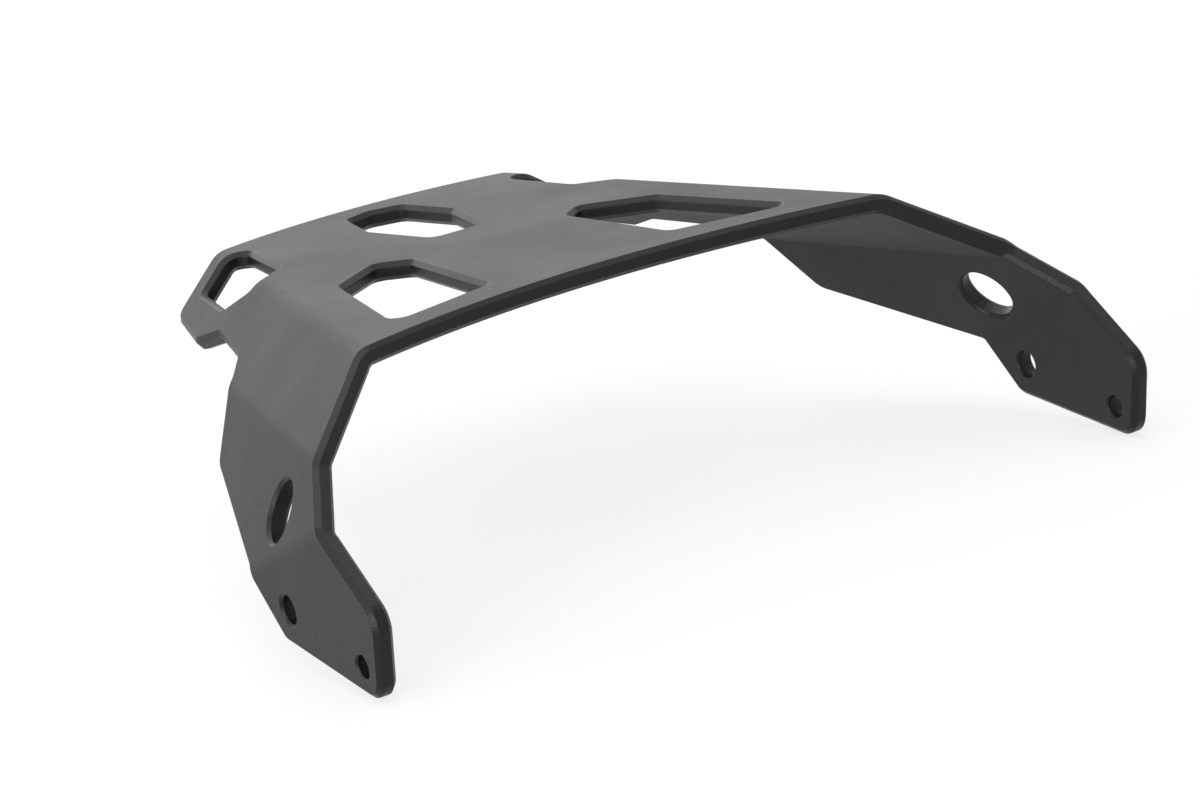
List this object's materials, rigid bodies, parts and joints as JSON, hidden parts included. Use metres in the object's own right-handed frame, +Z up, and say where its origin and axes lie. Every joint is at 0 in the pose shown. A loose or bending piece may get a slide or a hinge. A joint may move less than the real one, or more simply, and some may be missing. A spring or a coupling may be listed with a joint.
{
  "type": "motorcycle luggage rack",
  "caption": "Folded metal plate rack for a motorcycle tail: a flat luggage deck with strap openings, and side arms that end in upright bolting feet.",
  "frame": {"origin": "middle of the deck's top face", "axes": "+X to the right across the rack, +Y towards its rear edge, +Z up, square to the deck"},
  "size_m": [0.267, 0.2436, 0.0804],
  "materials": {
    "coated_plate": "satin"
  },
  "bodies": {
    "root": {"rack_plate": "coated_plate"}
  },
  "joints": []
}
